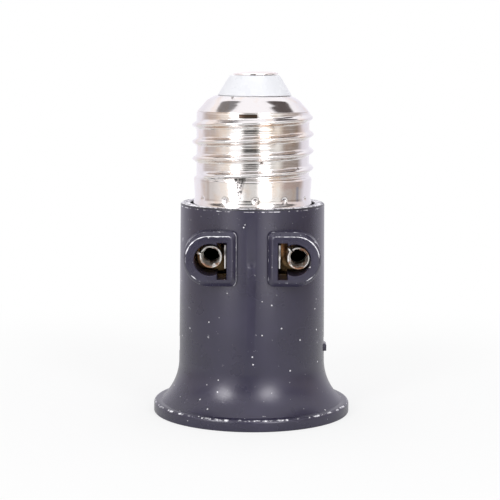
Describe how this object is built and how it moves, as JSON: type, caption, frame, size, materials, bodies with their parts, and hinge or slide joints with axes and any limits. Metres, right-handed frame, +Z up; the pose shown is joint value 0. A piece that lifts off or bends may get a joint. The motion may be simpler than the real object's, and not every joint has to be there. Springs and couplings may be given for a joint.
{
  "type": "lamp socket adapter",
  "caption": "Lamp socket adapter: a screw cap on top, a female lamp socket in the flared lower end, and a side outlet with two bosses for round pins or flat blades.",
  "frame": {"origin": "centre of the flange's underside, on the adapter's axis", "axes": "+Z up the axis to the cap's tip, -Y out of the side outlet, +X to the right of the outlet's face"},
  "size_m": [0.0428, 0.0428, 0.0742],
  "materials": {
    "black_moulding": "satin",
    "nickel_plate": "polished",
    "bare_brass": "satin",
    "white_moulding": "satin",
    "lead_insulation": "matt"
  },
  "bodies": {
    "adapter": {"housing": "black_moulding", "socket_core": "black_moulding", "contact_carrier": "black_moulding", "cap_shell": "nickel_plate", "lamp_shell": "nickel_plate", "right_pin_sleeve": "nickel_plate", "left_pin_sleeve": "nickel_plate", "right_blade_leaf": "nickel_plate", "left_blade_leaf": "nickel_plate", "cap_insulator": "white_moulding", "cap_contact": "bare_brass", "line_tag": "bare_brass", "right_bar": "bare_brass", "left_bar": "bare_brass", "shell_rivets": "bare_brass", "contact_rivet": "bare_brass", "line_lead": "lead_insulation", "neutral_lead": "lead_insulation"},
    "lamp_contact": {"contact_leaf": "bare_brass", "contact_button": "bare_brass"}
  },
  "joints": [
    {"name": "lamp_contact_press", "type": "slide", "parent": "adapter", "child": "lamp_contact", "axis": [0, 0, 1], "range_m": [0, 0.0015], "stiffness_N_per_m": 500, "springref_m": -0.001, "deforming": ["contact_leaf"]}
  ]
}
